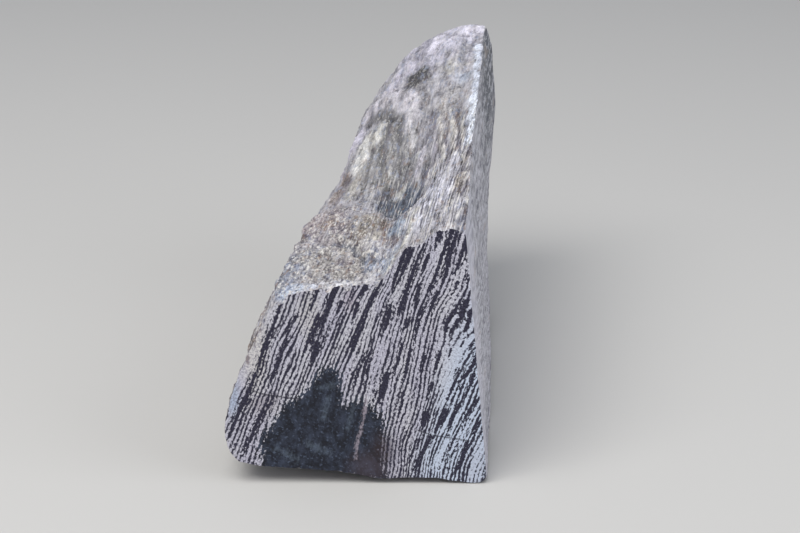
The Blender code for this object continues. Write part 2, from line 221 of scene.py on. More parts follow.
# Pale bands: strength, width, then (X, Z) along the band
PALE_BANDS = [
    (1, 2.2, (-25, 38.4), (-27, 33.7), (-29.3, 27.5), (-32, 21), (-33.4, 17)),
    (0.45, 1.2, (-14.5, 40.8), (-16.6, 35.1), (-19, 29.5)),
    (0.45, 1.1, (8.3, 51.9), (5.7, 44.9), (4.6, 38.8)),
    (0.40, 1.1, (-3.5, 29.5), (-6, 18.4)),
    (0.40, 1.1, (0.6, 48.9), (-2.3, 41.9), (-4.6, 35.7)),
    (0.45, 1.3, (13.4, 35.1), (12.7, 28.5)),
    (0.50, 2.7, (12.1, 31.6), (10, 26)),
    (0.40, 2.3, (9.5, 25.4), (7.8, 17.6)),
    (0.60, 1.9, (9.8, 8.8), (7.1, 3.4)),
    (0.45, 2.3, (16.1, 8.4), (14.6, 1.2)),
    (0.30, 0.9, (-0.4, 35.1), (-2.3, 29.5)),
    (0.35, 0.9, (11.7, 46.5), (9.9, 38.8)),
]
# Thin vein through the glassy patch
VEIN = [(0.7, (-6.2, 19.3), (-7, 14.8)), (0.45, (-7, 14.8), (-8.4, 8.4), (-8.8, 5.5))]
# Outline (X, Z) of the dark glassy patch at the bottom of the sawn face
PATCH = [(-27.9, 2), (-27.8, 9.5), (-26.6, 11.6), (-25, 13.3), (-22.7, 17.2), (-19.4, 19.1),
         (-16.2, 23.5), (-15.1, 25.2), (-12.9, 25), (-11.4, 24.1), (-11, 21.2), (-10.7, 17.4),
         (-8, 18.2), (-6.2, 18.2), (-5.1, 16.1), (-3.1, 15.5), (-2.7, 11.6), (-3.1, 7.3),
         (-2.4, 0.5)]
# Glints in the patch, like the dark bands
GLINTS = [(0.9, (-15.4, 20.6), (-12.2, 21.3)), (0.9, (-14.2, 18.4), (-14.8, 14.4)),
          (0.6, (-9, 16.4), (-10.2, 12)), (1.2, (-18, 8.6), (-14, 6.8)),
          (1, (-24, 7.6), (-20.5, 5.4))]
# Washes of colour on the sawn face: (X, Z), radii, sRGB shade, strength
WASHES = [
    ((-3.4, 7.2), (2.6, 4), (58, 44, 46), 0.75),
    ((-5.8, 3.8), (4.4, 3.6), (86, 74, 82), 0.55),
    ((-32.6, 18.5), (1.6, 4.5), (176, 192, 214), 0.75),
    ((-28.2, 30), (2.6, 11), (220, 216, 210), 0.8),
    ((14.8, 3.6), (3.2, 4.6), (184, 186, 200), 0.35),
    ((12.6, 29), (3, 7.5), (196, 208, 224), 0.30),
    ((-26.6, 17.4), (3, 2.2), (112, 90, 88), 0.35),
    ((-9.6, 39), (1.6, 2.6), (176, 152, 156), 0.30),
    ((-17.5, 36), (2.6, 5), (196, 190, 178), 0.30),
    ((-26.9, 34), (0.9, 2.6), (118, 108, 104), 0.85),
    ((-28.1, 30.4), (0.9, 2.6), (116, 104, 100), 0.85),
    ((-29.3, 27), (0.8, 2.4), (124, 108, 98), 0.8),
]

# Colours of the broken surfaces, as sRGB shades
BASE_TINT = (168, 166, 172)
# Painted shade: the upper rear of the right side turns away from the light, so it is darkened
RIGHT_REAR_PAINTED_SHADE = (86, 89, 93)
# Zones of other colour: place, radius, stretch along Y, colour, strength
ZONES = [
    ((-13.9, 16, 40), 9, 1.4, (164, 159, 154), 0.8),
    ((-22.8, 15, 39), 3.6, 3, (142, 147, 160), 0.8),
    ((-16.8, 42, 40), 6, 1.6, (146, 135, 136), 0.9),
    ((-14.5, 36, 42), 2.2, 1.2, (146, 128, 112), 0.7),
    ((-12.8, 30, 42), 4, 1.4, (148, 139, 142), 0.8),
    ((-20.1, 36, 39), 2.4, 1.4, (108, 94, 100), 0.8),
    ((-6.5, 28, 44), 4.2, 1.5, (134, 126, 116), 0.85),
    ((-4.2, 21.3, 44), 1.3, 1.4, (196, 190, 178), 0.8),
    ((-1.5, 8, 44), 2.6, 2, (154, 164, 180), 0.8),
    ((-5.5, 13, 41), 2.4, 1.3, (156, 166, 186), 0.8),
    ((0.8, 10, 46), 1.6, 5, (202, 201, 200), 0.7),
    ((0, 44, 42), 5, 1.6, (70, 80, 95), 0.95),
    ((-3.1, 39.7, 42), 2.4, 1.6, (104, 112, 124), 0.85),
    ((3.4, 43.2, 45.5), 3.2, 1.5, (74, 84, 100), 0.9),
    ((-0.6, 48.3, 44), 2, 1.2, (186, 186, 182), 0.9),
    ((-0.4, 21, 46.5), 2.4, 1.8, (146, 160, 178), 0.9),
    ((-1.2, 17, 45.4), 1.3, 1.3, (112, 103, 108), 0.8),
    ((-5.2, 15.6, 42.4), 1.4, 1.4, (112, 115, 128), 0.8),
    ((-22.6, 3.4, 39.2), 1.8, 1.3, (122, 134, 158), 0.9),
    ((-10.9, 17.6, 40.2), 1.7, 1.2, (128, 120, 124), 0.75),
    ((7, 23, 53), 6, 2, (204, 204, 215), 0.9),
    ((3.9, 14, 50), 3.5, 1.6, (198, 198, 208), 0.8),
    ((11.9, 18, 57), 2.2, 1.6, (176, 166, 154), 0.8),
    ((13.2, 26, 58), 1.6, 1.2, (170, 156, 138), 0.6),
    ((-3.3, 58, 50), 9.5, 1.5, (146, 145, 146), 0.9),
    ((-8.4, 67, 47), 1.6, 4, (212, 211, 210), 0.85),
    ((-10, 56, 43), 1.4, 2.2, (190, 187, 180), 0.8),
    ((-13.4, 62, 41), 3, 3, (152, 137, 130), 0.8),
    ((6.9, 90, 66), 10, 1.6, (186, 184, 198), 0.9),
    ((3, 79, 61.6), 4, 1.5, (70, 69, 71), 0.95),
    ((6.5, 56, 58), 4, 1.6, (158, 156, 162), 0.8),
    ((10.8, 60, 62), 3, 1.6, (176, 174, 176), 0.8),
    ((11.3, 73.3, 66), 2.4, 1.3, (196, 193, 188), 0.8),
    ((13.8, 67, 65), 2, 1.4, (170, 178, 194), 0.8),
    ((-30.3, 18, 22), 5, 2.2, (118, 98, 82), 0.8),
    ((-33, 8, 16), 10, 1.5, (112, 106, 108), 0.85),
    ((-28, 30, 30), 9, 2, (122, 116, 118), 0.8),
    ((-20.5, 2.6, 40), 2.8, 1.1, (186, 196, 212), 0.8),
    ((-13, 1.6, 41), 3.2, 0.6, (214, 214, 218), 0.75),
]

# Ridges, creases and streaks of the upper surface: width, height, colour, strength, and
# (X, Y) along each
STREAKS = [
    # Painted highlight: a light rim along the left skyline of the top
    (5, 0, (194, 190, 204), 0.8, (-11.3, 76), (-8, 82), (-3.4, 86), (1.1, 89), (8, 92)),
    (3, 0.7, (206, 202, 210), 0.85, (-6.5, 88), (-2.3, 81), (0.9, 75), (2.8, 69.5), (2.5, 64)),
    (1.8, 0.5, (172, 169, 176), 0.6, (2.8, 66), (4.5, 60), (6.6, 50)),
    (1.6, -0.9, (104, 104, 110), 0.8, (-5, 47), (-1, 49.5), (1.5, 50.5), (6.3, 46.6)),
    (1.2, 0.3, (190, 190, 190), 0.7, (-3.5, 50.5), (0.5, 53), (4, 52)),
    (1.4, 0.4, (188, 184, 184), 0.8, (8.8, 61), (10.2, 52), (11.8, 42)),
    (0.9, -0.5, (118, 114, 122), 0.8, (6.2, 62), (8, 53), (8.4, 42)),
    (1, -0.5, (124, 122, 128), 0.8, (11, 82), (9.7, 74.5), (10.4, 66)),
    (1.1, -0.4, (128, 126, 130), 0.7, (13.6, 64), (13, 56), (13, 48)),
    (2.6, 0.4, (214, 212, 206), 0.85, (-4.2, 71), (-5.6, 67.5)),
    (2.6, 0.3, (228, 227, 224), 0.95, (-7.6, 73), (-8.4, 67), (-8.9, 63)),
    (2, 0.3, (172, 168, 163), 0.8, (-9.2, 61), (-9.8, 56), (-10.6, 50)),
    (1.2, -0.4, (132, 132, 140), 0.7, (14.9, 86), (14.2, 80), (13.6, 74)),
    # Painted shadow under the top of the arch, along a shallow crease
    (2.4, -0.5, (96, 95, 96), 0.85, (-7.4, 84), (-5.4, 79), (-3.6, 75.5), (-1.2, 70)),
    (1.5, -0.4, (116, 115, 114), 0.8, (-3.3, 69), (-3.6, 58), (-3.2, 50)),
    (0.8, 0.3, (178, 176, 174), 0.8, (-2, 61), (-2.2, 56), (-1.9, 51)),
    (1.1, -0.4, (112, 111, 112), 0.8, (0, 68), (-0.2, 60), (0.2, 52)),
    (1.2, 0.4, (200, 198, 202), 0.85, (2, 68), (2.2, 62), (2.8, 55)),
    (1.1, 0.4, (204, 200, 210), 0.85, (5.2, 52), (4.2, 50), (3.5, 48)),
    (0.9, -0.4, (112, 106, 126), 0.8, (7.7, 49), (6.7, 45.5), (5, 43.5)),
    (0.8, 0.3, (204, 200, 196), 0.85, (8.4, 56), (8.7, 50), (9.1, 39)),
    (0.7, -0.3, (112, 108, 116), 0.8, (9.8, 55), (9.8, 45), (9.9, 32)),
    (0.8, 0.3, (208, 204, 198), 0.85, (10.9, 56), (11.1, 47), (10.8, 35)),
    (0.7, -0.3, (110, 106, 112), 0.8, (12.1, 53), (12.2, 40), (11.7, 30)),
    (0.7, 0.3, (206, 202, 196), 0.85, (13, 47), (12.8, 35)),
    (0.9, -0.6, (120, 116, 112), 0.7, (-6.4, 72), (-6.8, 60), (-8, 52)),
    # Small step on the terrace: a pale line on its crest, partly a chipped edge and partly a
    # painted highlight, then painted shadow under the step
    (0.6, 0.5, (210, 206, 200), 0.8, (-14.6, 30),
     (-12.4, 27.2), (-9.7, 23.6), (-7.8, 18.4), (-4.6, 15)),
    (0.7, -0.5, (92, 98, 112), 0.75, (-14, 27),
     (-12, 24.6), (-9.6, 21.4), (-7, 15.6), (-3.8, 13.2)),
    (1, -0.5, (104, 88, 84), 0.8, (-3.4, 29), (-3.2, 24), (-2.6, 18)),
    (0.9, 0.3, (206, 204, 196), 0.8, (-2.4, 1.5), (-0.4, 6), (1.6, 14), (3.2, 22)),
    # Pale band behind the front edge of the terrace: partly a chipped rim, partly a painted
    # highlight
    (2.2, 0, (210, 210, 216), 0.75, (-14.5, 4.4), (-10.8, 6.4), (-6.6, 4.6)),
    (9, 0, (208, 205, 218), 0.85, (11.5, 91), (15.5, 95)),
    # Pale bluish line along the right crest: partly a worn light edge, partly a painted highlight
    (1.5, 0, (226, 232, 244), 1, (13.7, 32), (14.4, 37), (15.2, 43)),
    (2.3, 0, (228, 234, 246), 1, (15.2, 43), (15.6, 51), (15.8, 54)),
    (1.4, 0, (222, 228, 242), 1, (15.9, 54), (16.4, 61), (17.1, 73), (17.6, 84)),
]

# How colours are laid on
FAR_OUTSIDE = 9.0
TAPER_REACH = 3.5  # from a stroke's end
DARK_TAPER = 0.7
STROKE_LIMITS = (-1.5, 1)
PATCH_LIMITS = (-3, 3)
CHALK_EDGE = (-0.5, 0.1)
WASH_EDGE = (1.5, 0.3)
JITTER_SIZES = (3, 0.9)
FINE_JITTER = 0.22
ZONE_WANDER = (1, 0.45)  # fixed, and for each millimetre of radius
ZONE_HEIGHT = 1.3  # share of the radius
ZONE_EDGE = (1.35, 0.55)
STREAK_WANDER = 0.5
STREAK_EDGE = (-0.4, 0.3)  # shares of the width
OFF_SIDE = (0.93, 0.80)
# Painted shade on the upper rear of the right side: its share, and soft edges in Y and Z
REAR_PAINTED_SHADE_SHARE = 0.9
REAR_PAINTED_SHADE_Y = (45, 90)
REAR_PAINTED_SHADE_Z = (25, 55)

# Projections for the texture map: facing, U, V and scale
PROJECTIONS = [
    ((0, -1, 0), (1, 0, 0), (0, 0, 1), 1),
    ((1, 0, 0), (0, 1, 0), (0, 0, 1), 0.8),
    ((0, 0, 1), (1, 0, 0), (0, 1, 0), 1.2),
    ((-1, 0, 0), (0, -1, 0), (0, 0, 1), 0.8),
    ((0, 1, 0), (-1, 0, 0), (0, 0, 1), 0.7),
    ((0, 0, -1), (1, 0, 0), (0, -1, 0), 0.6),
]
SAWN_PROJECTION = ((0, -1, 0), (1, 0, 0), (0, 0, 1), 1.9)
SMALL_ISLAND = 400  # triangles; smaller ones join a neighbour
ISLAND_ROUNDS = 8
ISLAND_GAP = 1.2
MAP_ROOM = 1.06  # side of the map over what islands need

# Noise patterns: cycles for each millimetre across the bands, down their dip and along
# their strike, detail, roughness, and any distortion and offset
STILL = (0, 0, 0)
PATTERNS = {
    "wander": ((0.22, 0.09, 0.1), 1, 0.5),
    "crinkle": ((1.3, 0.8, 0.5), 2, 0.5),
    "bands": ((1.3, 0.09, 0.03), 2.5, 0.62),
    "dots": ((3, 1.5, 0.6), 2, 0.6),
    "hue": ((0.25, 0.06, 0.05), 2, 0.5),
    "grain": ((3, 3, 3), 2, 0.7),
    "mottle": ((0.55, 0.36, 0.3), 4, 0.72),
    "flecks": ((1.8, 1.8, 1.8), 2, 0.6),
    "streak": ((2.8, 0.50, 0.16), 3, 0.66),
    "broken bands": ((0.9, 0.10, 0.04), 2, 0.5),
    "speck": ((1.5, 1.5, 1.5), 3, 0.8),
    "patches": ((0.46, 0.30, 0.20), 3, 0.62),
    "blue": ((0.9, 0.6, 0.45), 3.5, 0.72, 0, (7, 3, 1)),
    "rust": ((0.8, 0.5, 0.35), 3.5, 0.72, 0, (1, 9, 4)),
    "crumb": ((1.9, 1.1, 0.7), 3, 0.72, 0, (3, 5, 8)),
    "splinter": ((3, 0.36, 0.16), 3, 0.66, 0, (3, 5, 8)),
    "pits": ((4, 4, 4), 2, 0.6),
    "joint wander": ((0.2, 0.05, 0.07), 2, 0.5),
    "joint crinkle": ((1.1, 0.35, 0.4), 3, 0.65),
    "broad": ((0.8, 0.16, 0.05), 3, 0.6, 0.8, STILL),
    "veins": ((1.2, 0.14, 0.42), 2.5, 0.62, 1.2, (4, 2, 9)),
    "lines": ((2.2, 0.9, 0.16), 3, 0.66, 0.9, STILL),
    "joint speck": ((1.6, 1.6, 1.6), 3, 0.72),
}
# Layers over the tint: mask, its soft edge, shares below and above that, sRGB shade
BROKEN_LAYERS = [
    ("blue", (0.54, 0.62), (0, 0.45), (148, 158, 182)),
    ("rust", (0.55, 0.64), (0, 0.5), (138, 110, 88)),
    ("crumb", (0.36, 0.46), (0.8, 0), (72, 68, 82)),
    ("crumb", (0.54, 0.62), (0, 0.8), (228, 225, 220)),
    ("bands", (0.32, 0.42), (0.35, 0), (92, 90, 104)),
    ("bands", (0.58, 0.68), (0, 0.35), (204, 202, 206)),
    # Painted shade: darker in the hollows of the relief
    ("height", (-0.60, -0.15), (0.55, 0), (74, 72, 82)),
]
JOINT_LAYERS = [
    ("band", (0.52, 0.60), (0, 0.6), (216, 216, 223)),
    ("band", (0.36, 0.44), (0.65, 0), (92, 93, 107)),
    ("speck", (0.32, 0.45), (0.6, 0), (96, 95, 106)),
    ("speck", (0.56, 0.68), (0, 0.4), (196, 192, 192)),
    ("broad", (0.12, 0.20), (0, 0.45), (160, 144, 130)),
    ("rearward", (3, 16), (0.5, 0), (208, 206, 217)),
]
FADING = ("rust", "crumb")  # masks whose layers are weaker at the rear
# Shades of the sawn face
LILAC, PEARL, ICE = (201, 199, 212), (211, 210, 216), (202, 212, 229)
GRAIN_SHADE, DOT_SHADE = (114, 110, 130), (124, 120, 140)
BAND_BLACK, BAND_GREY = (30, 28, 44), (64, 62, 82)
GLASS_BLACK, GLASS_BLUE, GLASS_FLECK = (25, 27, 37), (57, 64, 81), (92, 104, 126)
GLINT_SHADE, VEIN_SHADE, CRACK_SHADE = (112, 126, 142), (154, 145, 155), (40, 38, 52)
# Soft edges there, in flow coordinates
CALM_DIP = (12, 34)
LOW_DIP = (14, 4)
LOW_ACROSS = (2, 8)
ICE_ACROSS = (4, 13)

# Studio
FLOOR_SHADE = (196, 195, 192)
FLOOR_ROUGHNESS = 0.9
FLOOR_REACH = 3.0  # metres from its middle to an edge
SKY = (0.86, 0.90, 1, 1)
SKY_STRENGTH = 0.42
LIGHT_TARGET = (0, 0, 0.03)
# Name, place and width in metres, power, colour
SOFT_BOXES = [
    ("key", (-0.25, -0.35, 0.75), 0.6, 6.4, (1, 0.98, 0.95)),
    ("fill", (0.55, -0.30, 0.35), 0.5, 1.5, (0.92, 0.95, 1)),
]

# Camera, in the drawing frame
CAMERA_PLACE = (0, -351.3, 173.5)
CAMERA_PITCH = 20.0  # degrees below the horizon
CAMERA_FOCAL = 1973.0  # in pixels of an image this wide
IMAGE_WIDTH = 800
SENSOR_WIDTH = 36.0
CLIP_START = 0.02  # metres
UPRIGHT = 90  # degrees from down to level


# ---- small helpers

def ease(low, high, value):
    """Go smoothly from 0 at low to 1 at high."""
    t = np.clip((value - low) / (high - low), 0, 1)
    return t * t * (3 - 2 * t)


def linear(shade):
    """Colour of a shader from an sRGB shade of 0 to 255."""
    part = np.array(shade, float) / 255
    low = part / 12.92
    high = ((part + 0.055) / 1.055) ** 2.4
    return tuple(np.where(part <= 0.04045, low, high))


def linked(name, data):
    """New object in the scene."""
    made = bpy.data.objects.new(name, data)
    bpy.context.scene.collection.objects.link(made)
    return made


def lines_distance(points, lines, taper=0):
    """How far inside the nearest stroke each point is; negative outside."""
    inside = np.full(len(points), -FAR_OUTSIDE)
    for width, *line in lines:
        line = np.array(line)
        for start, end in zip(line, line[1:]):
            along = end - start
            t = np.clip((points - start) @ along / (along @ along), 0, 1)
            place = start + t[:, None] * along
            from_end = np.linalg.norm(place - line[-1], axis=1)
            half = width / 2 * (1 - taper * ease(TAPER_REACH, 0, from_end))
            inside = np.maximum(inside, half - np.linalg.norm(points - place, axis=1))
    return inside


def outline_distance(points, outline):
    """How far inside a closed outline each (X, Z) point is; negative outside."""
    nearest = -lines_distance(points, [(0, *outline, outline[0])])
    inside = np.zeros(len(points), bool)
    for (x0, z0), (x1, z1) in zip(outline, outline[1:] + outline[:1]):
        spans = (points[:, 1] < z0) != (points[:, 1] < z1)
        crossing = x0 + (points[:, 1] - z0) / ((z1 - z0) or 1) * (x1 - x0)
        inside ^= spans & (points[:, 0] < crossing)
    return np.where(inside, nearest, -nearest)


def thin_plate(places, values):
    """Smooth function of (X, Z) that comes close to values at places."""
    count = len(places)

    def kernel(a, b):
        square = ((a[:, None, :] - b[None, :, :]) ** 2).sum(2)
        return 0.5 * square * np.log(square + TINY)

    system = np.zeros((count + 3, count + 3))
    system[:count, :count] = kernel(places, places) + PLATE_SLACK * np.eye(count)
    system[:count, count] = system[count, :count] = 1
    system[:count, count + 1:] = places
    system[count + 1:, :count] = places.T
    weights = np.linalg.solve(system, np.append(values, [0, 0, 0]))

    def value(points):
        near = kernel(points, places) @ weights[:count]
        return near + weights[count] + points @ weights[count + 1:]

    return value


across_face = thin_plate(np.array([p for _, line in TRACES for p in line]),
                         np.array([value for value, line in TRACES for _ in line]))


def flow_coordinates(places):
    """Across the bands, down their dip, and along their strike, in millimetres."""
    x, y, z = places.T
    across = across_face(np.stack([x, z], 1)) + BAND_STRIKE * y
    return np.stack([across, DIP[0] * x + DIP[1] * z, y], 1)


# ---- mesh

def drawing_origin(stone):
    """Where the origin of the drawing is in the row frame, in metres."""
    low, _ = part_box(NODE)
    front = [v.co for v in stone.data.vertices if v.co.y < low.y + ON_FACE * MM]
    corner = max(front, key=lambda point: point.x)
    return Vector((corner.x - FACE_RIGHT * MM, low.y, 0))


def kind_of(normal):
    """Kind of surface that faces this way."""
    for kind, axis, sign, share in FACING:
        if sign * normal[axis] > share:
            return kind
    return "flank"


def open_shell(stone, origin):
    """The stone in the drawing frame, without its sawn face."""
    mesh = bmesh.new()
    mesh.from_mesh(stone.data)
    for vertex in mesh.verts:
        vertex.co = (vertex.co - origin) / MM
    bmesh.ops.remove_doubles(mesh, verts=mesh.verts, dist=MERGE_DISTANCE)
    for vertex in mesh.verts:
        if vertex.co.y < ON_FACE:
            vertex.co.y = 0.0
    sawn = [f for f in mesh.faces if all(v.co.y == 0.0 for v in f.verts)]
    bmesh.ops.delete(mesh, geom=sawn, context="FACES")
    return mesh


def drop_fins(mesh):
    """Delete pairs of faces with the same vertices, which triangulating can leave."""
    copies = {}
    for face in mesh.faces:
        copies.setdefault(frozenset(face.verts), []).append(face)
    fins = [face for pair in copies.values() if len(pair) > 1 for face in pair]
    bmesh.ops.delete(mesh, geom=fins, context="FACES")


def edge_limit(edge):
    """Length that an edge may have on the surfaces that it borders."""
    if edge.is_boundary:
        limit = EDGE["sawn"]
    else:
        limit = min(EDGE[kind_of(face.normal)] for face in edge.link_faces)
    return limit * (1 + COARSER * edge.verts[0].co.y)


def split_long_edges(mesh):
    """Halve the edges that are too long for their kind of surface."""
    for _ in range(SPLIT_ROUNDS):
        mesh.normal_update()
        long = [edge for edge in mesh.edges if edge.calc_length() > LONGEST * edge_limit(edge)]
        if not long:
            return
        bmesh.ops.subdivide_edges(mesh, edges=long, cuts=1)
        bmesh.ops.triangulate(mesh, faces=[f for f in mesh.faces if len(f.verts) > 3])
        drop_fins(mesh)


def crease_edges(mesh):
    """The sharp edges, and those along the rim of the sawn face."""
    sharp = math.radians(SHARP_EDGE)
    return [e for e in mesh.edges if e.is_boundary or e.calc_face_angle(0) > sharp]


def smoothed(mesh):
    """Vertex places with the facets taken out but the sharp edges kept."""
    places = np.array([v.co[:] for v in mesh.verts])
    mesh.verts.index_update()
    pairs = [[v.index for v in e.verts] for e in crease_edges(mesh)]
    on_crease = np.bincount(np.ravel(pairs), minlength=len(places)) > 1
    pairs = [(a, b) for a, b in pairs if on_crease[a] and on_crease[b]]
    links = pairs + [(b, a) for a, b in pairs]
    for edge in mesh.edges:
        a, b = (v.index for v in edge.verts)
        if not on_crease[a]:
            links.append((a, b))
        if not on_crease[b]:
            links.append((b, a))
    to, source = np.array(links).T
    count = np.bincount(to, minlength=len(places))
    held = (count < 2)[:, None]
    count = np.maximum(count, 1)[:, None]
    for _ in range(SMOOTHING):
        total = np.stack([np.bincount(to, places[source, i], len(places)) for i in range(3)], 1)
        moved = places + SMOOTHING_STEP * (total / count - places)
        places = np.where(held, places, moved)
    return places


def vertex_normals(places, triangles):
    """Unit normals at the vertices, weighted by area."""
    corner = places[triangles]
    face = np.cross(corner[:, 1] - corner[:, 0], corner[:, 2] - corner[:, 0])
    total = np.zeros_like(places)
    for i in range(3):
        for axis in range(3):
            total[:, axis] += np.bincount(triangles[:, i], face[:, axis], len(places))
    return total / np.maximum(np.linalg.norm(total, axis=1, keepdims=True), TINY)


def stretched(coordinates, stretch):
    """Place in a noise pattern."""
    return Vector([value * share for value, share in zip(coordinates, stretch)])


def facets(point, tilt):
    """Height of flat-sided chips: each Voronoi cell is a tilted plane."""
    centre = noise.voronoi(point)[1][0]
    lean = noise.cell_vector(centre) - Vector((0.5, 0.5, 0.5))
    return tilt * lean.dot(point - centre) + FACET_RISE * tilt * lean.x


def relief(place, flow, fibrous, side):
    """Height of the small forms at one place."""
    p = Vector(place)
    across, dip, strike = flow
    if side > ALL_SIDE:
        return side_relief(p, across, dip, strike)
    grain = GRAIN_HEIGHT * noise.fractal(p / GRAIN_SIZE, *FRACTAL)
    bent = p + CHIP_BEND * noise.noise_vector(p / CHIP_BEND_SIZE)
    hackle = sum(height * facets(bent / size, tilt) for size, height, tilt in CHIPS)
    strip = stretched(flow, SPLINTER_STRETCH)
    strip += SPLINTER_BEND * noise.noise_vector(p / SPLINTER_BEND_SIZE)
    splinter = sum(height * facets(fine * strip, tilt) for fine, height, tilt in SPLINTERS)
    flutes = -FLUTE_DEPTH * abs(noise.noise(stretched((across, strike, dip), FLUTE_STRETCH)))
    rough = (1 - fibrous) * hackle + fibrous * (splinter + flutes) + grain
    return (1 - side) * rough + side * side_relief(p, across, dip, strike)


def side_relief(p, across, dip, strike):
    """Height of the small forms on the right side."""
    step = noise.noise(stretched((across, strike, dip), STEP_STRETCH))
    ledges = facets(stretched((across, dip, strike), LEDGE_STRETCH), LEDGE_TILT)
    grain = noise.fractal(p / SIDE_GRAIN_SIZE, *FRACTAL)
    return STEP_HEIGHT * step + LEDGE_HEIGHT * ledges + SIDE_GRAIN_HEIGHT * grain


def streak_height(places):
    """Rise of the ridges and creases at each vertex."""
    total = np.zeros(len(places))
    for width, height, _, _, *line in STREAKS:
        inside = lines_distance(places[:, :2], [(0, *line)])
        total += height * ease(-width, 0, inside)
    return total


def rim_chips(places):
    """Depth of the chips along the top edge of the sawn face."""
    x, y = RIM_CHIP_STRETCH
    bite = np.array([noise.noise((x * p[0], y * p[1], RIM_CHIP_SLICE)) for p in places.tolist()])
    depth = 1.0 - SHALLOWER * ease(*SHALLOWER_X, places[:, 0])
    return depth * ease(*RIM_CHIP_EDGE, bite) * ease(*RIM_CHIP_REACH, places[:, 1])


def carved(places, normals):
    """Places with the small forms, the height of these, and the fibrous share."""
    x, y, z = places.T
    side = ease(*SIDE_FACING, normals[:, 0])
    fibrous = ease(*FIBRE_X, x + FIBRE_LEAN * (y - FIBRE_START_Y))
    fibrous = fibrous * ease(*FIBRE_Z, z) * ease(*FIBRE_Y, y)
    facts = zip(places, flow_coordinates(places), fibrous, side)
    height = np.array([relief(*fact) for fact in facts])
    under = ease(*UNDER_FACING, normals[:, 2])
    upward = ease(*UP_FACING, normals[:, 2]) * ease(*UPPER_Z, z)
    strength = FACE_CALM + (1 - FACE_CALM) * ease(*FACE_CALM_Y, y)
    strength = strength * (1 - REST_CALM * under * ease(*REST_CALM_Z, z))
    in_plane = np.stack([np.ones(len(y)), ease(*FACE_FLAT_Y, y), np.ones(len(y))], 1)
    moved = places + normals * in_plane * (height * strength)[:, None]
    moved[:, 2] += (upward * strength * streak_height(moved)) - rim_chips(moved) * upward
    corner = ease(CORNER_REACH, 0, np.hypot(x - CREST_CORNER[0], y - CREST_CORNER[1]))
    moved[:, (0, 2)] -= (corner * ease(*CORNER_Z, z))[:, None] * CORNER_WEAR
    moved[:, 2] = np.maximum(moved[:, 2], 0)
    return moved, height, fibrous


def rim_loop(mesh):
    """Vertex indices around the opening of the mesh, in order."""
    loops = [edge.link_loops[0] for edge in mesh.edges if edge.is_boundary]
    following = {loop.link_loop_next.vert.index: loop.vert.index for loop in loops}
    rim = [next(iter(following))]
    while following[rim[-1]] != rim[0]:
        rim.append(following[rim[-1]])
    return rim


def sawn_grid(rim):
    """Points and triangles that fill the sawn face inside its rim (X, Z)."""
    low, high = rim.min(0), rim.max(0)
    height = ROW_HEIGHT * FACE_GRID
    points = []
    for row in range(int((high[1] - low[1]) / height) + 1):
        z = low[1] + height * (row + 0.5)
        shift = 0.5 * FACE_GRID * (row % 2)
        points += [(x + shift, z) for x in np.arange(low[0], high[0], FACE_GRID)]
    points = np.array(points)
    outline = [tuple(p) for p in rim]
    points = points[outline_distance(points, outline) > RIM_CLEARANCE * FACE_GRID]
    corners = [Vector(p) for p in rim] + [Vector(p) for p in points]
    found = geometry.delaunay_2d_cdt(corners, [], [list(range(len(rim)))], INSIDE_ONLY,
                                     GRID_PRECISION)
    return found[0], found[2], found[3]


def sawn_face(places, rim):
    """Points to add inside the rim, and the triangles of the sawn face."""
    points, faces, sources = sawn_grid(places[rim][:, [0, 2]])
    number = [rim[s[0]] if s and s[0] < len(rim) else None for s in sources]
    extra = [i for i, known in enumerate(number) if known is None]
    for i, point in enumerate(extra):
        number[point] = len(places) + i
    added = np.array([(points[i][0], 0, points[i][1]) for i in extra])
    triangles = np.array([[number[i] for i in face] for face in faces])
    corner = np.vstack([places, added])[triangles[0]]
    if np.cross(corner[1] - corner[0], corner[2] - corner[0])[1] > 0:
        triangles = triangles[:, ::-1]
    return added, triangles


def stone_mesh(stone, origin):
    """Vertices, their normals, relief and fibre, then broken and sawn triangles."""
    mesh = open_shell(stone, origin)
    split_long_edges(mesh)
    places = smoothed(mesh)
    broken = np.array([[v.index for v in f.verts] for f in mesh.faces])
    rim = rim_loop(mesh)
    mesh.free()
    normals = vertex_normals(places, broken)
    places, height, fibre = carved(places, normals)
    added, sawn = sawn_face(places, rim)
    places = np.vstack([places, added])
    normals = np.vstack([normals, np.tile((0, -1, 0), (len(added), 1))])
    plain = np.zeros(len(added))
    return places, normals, np.append(height, plain), np.append(fibre, plain), broken, sawn


# ---- colours at the vertices

def toward(colour, shade, weight):
    """Colours moved towards an sRGB shade by weights."""
    return colour + weight[:, None] * (np.array(linear(shade)) - colour)


def jitter_at(place):
    """Shift that makes the borders of colours uneven."""
    broad, fine = (noise.noise_vector(Vector(place) / size) for size in JITTER_SIZES)
    return (broad + FINE_JITTER * fine)[:]


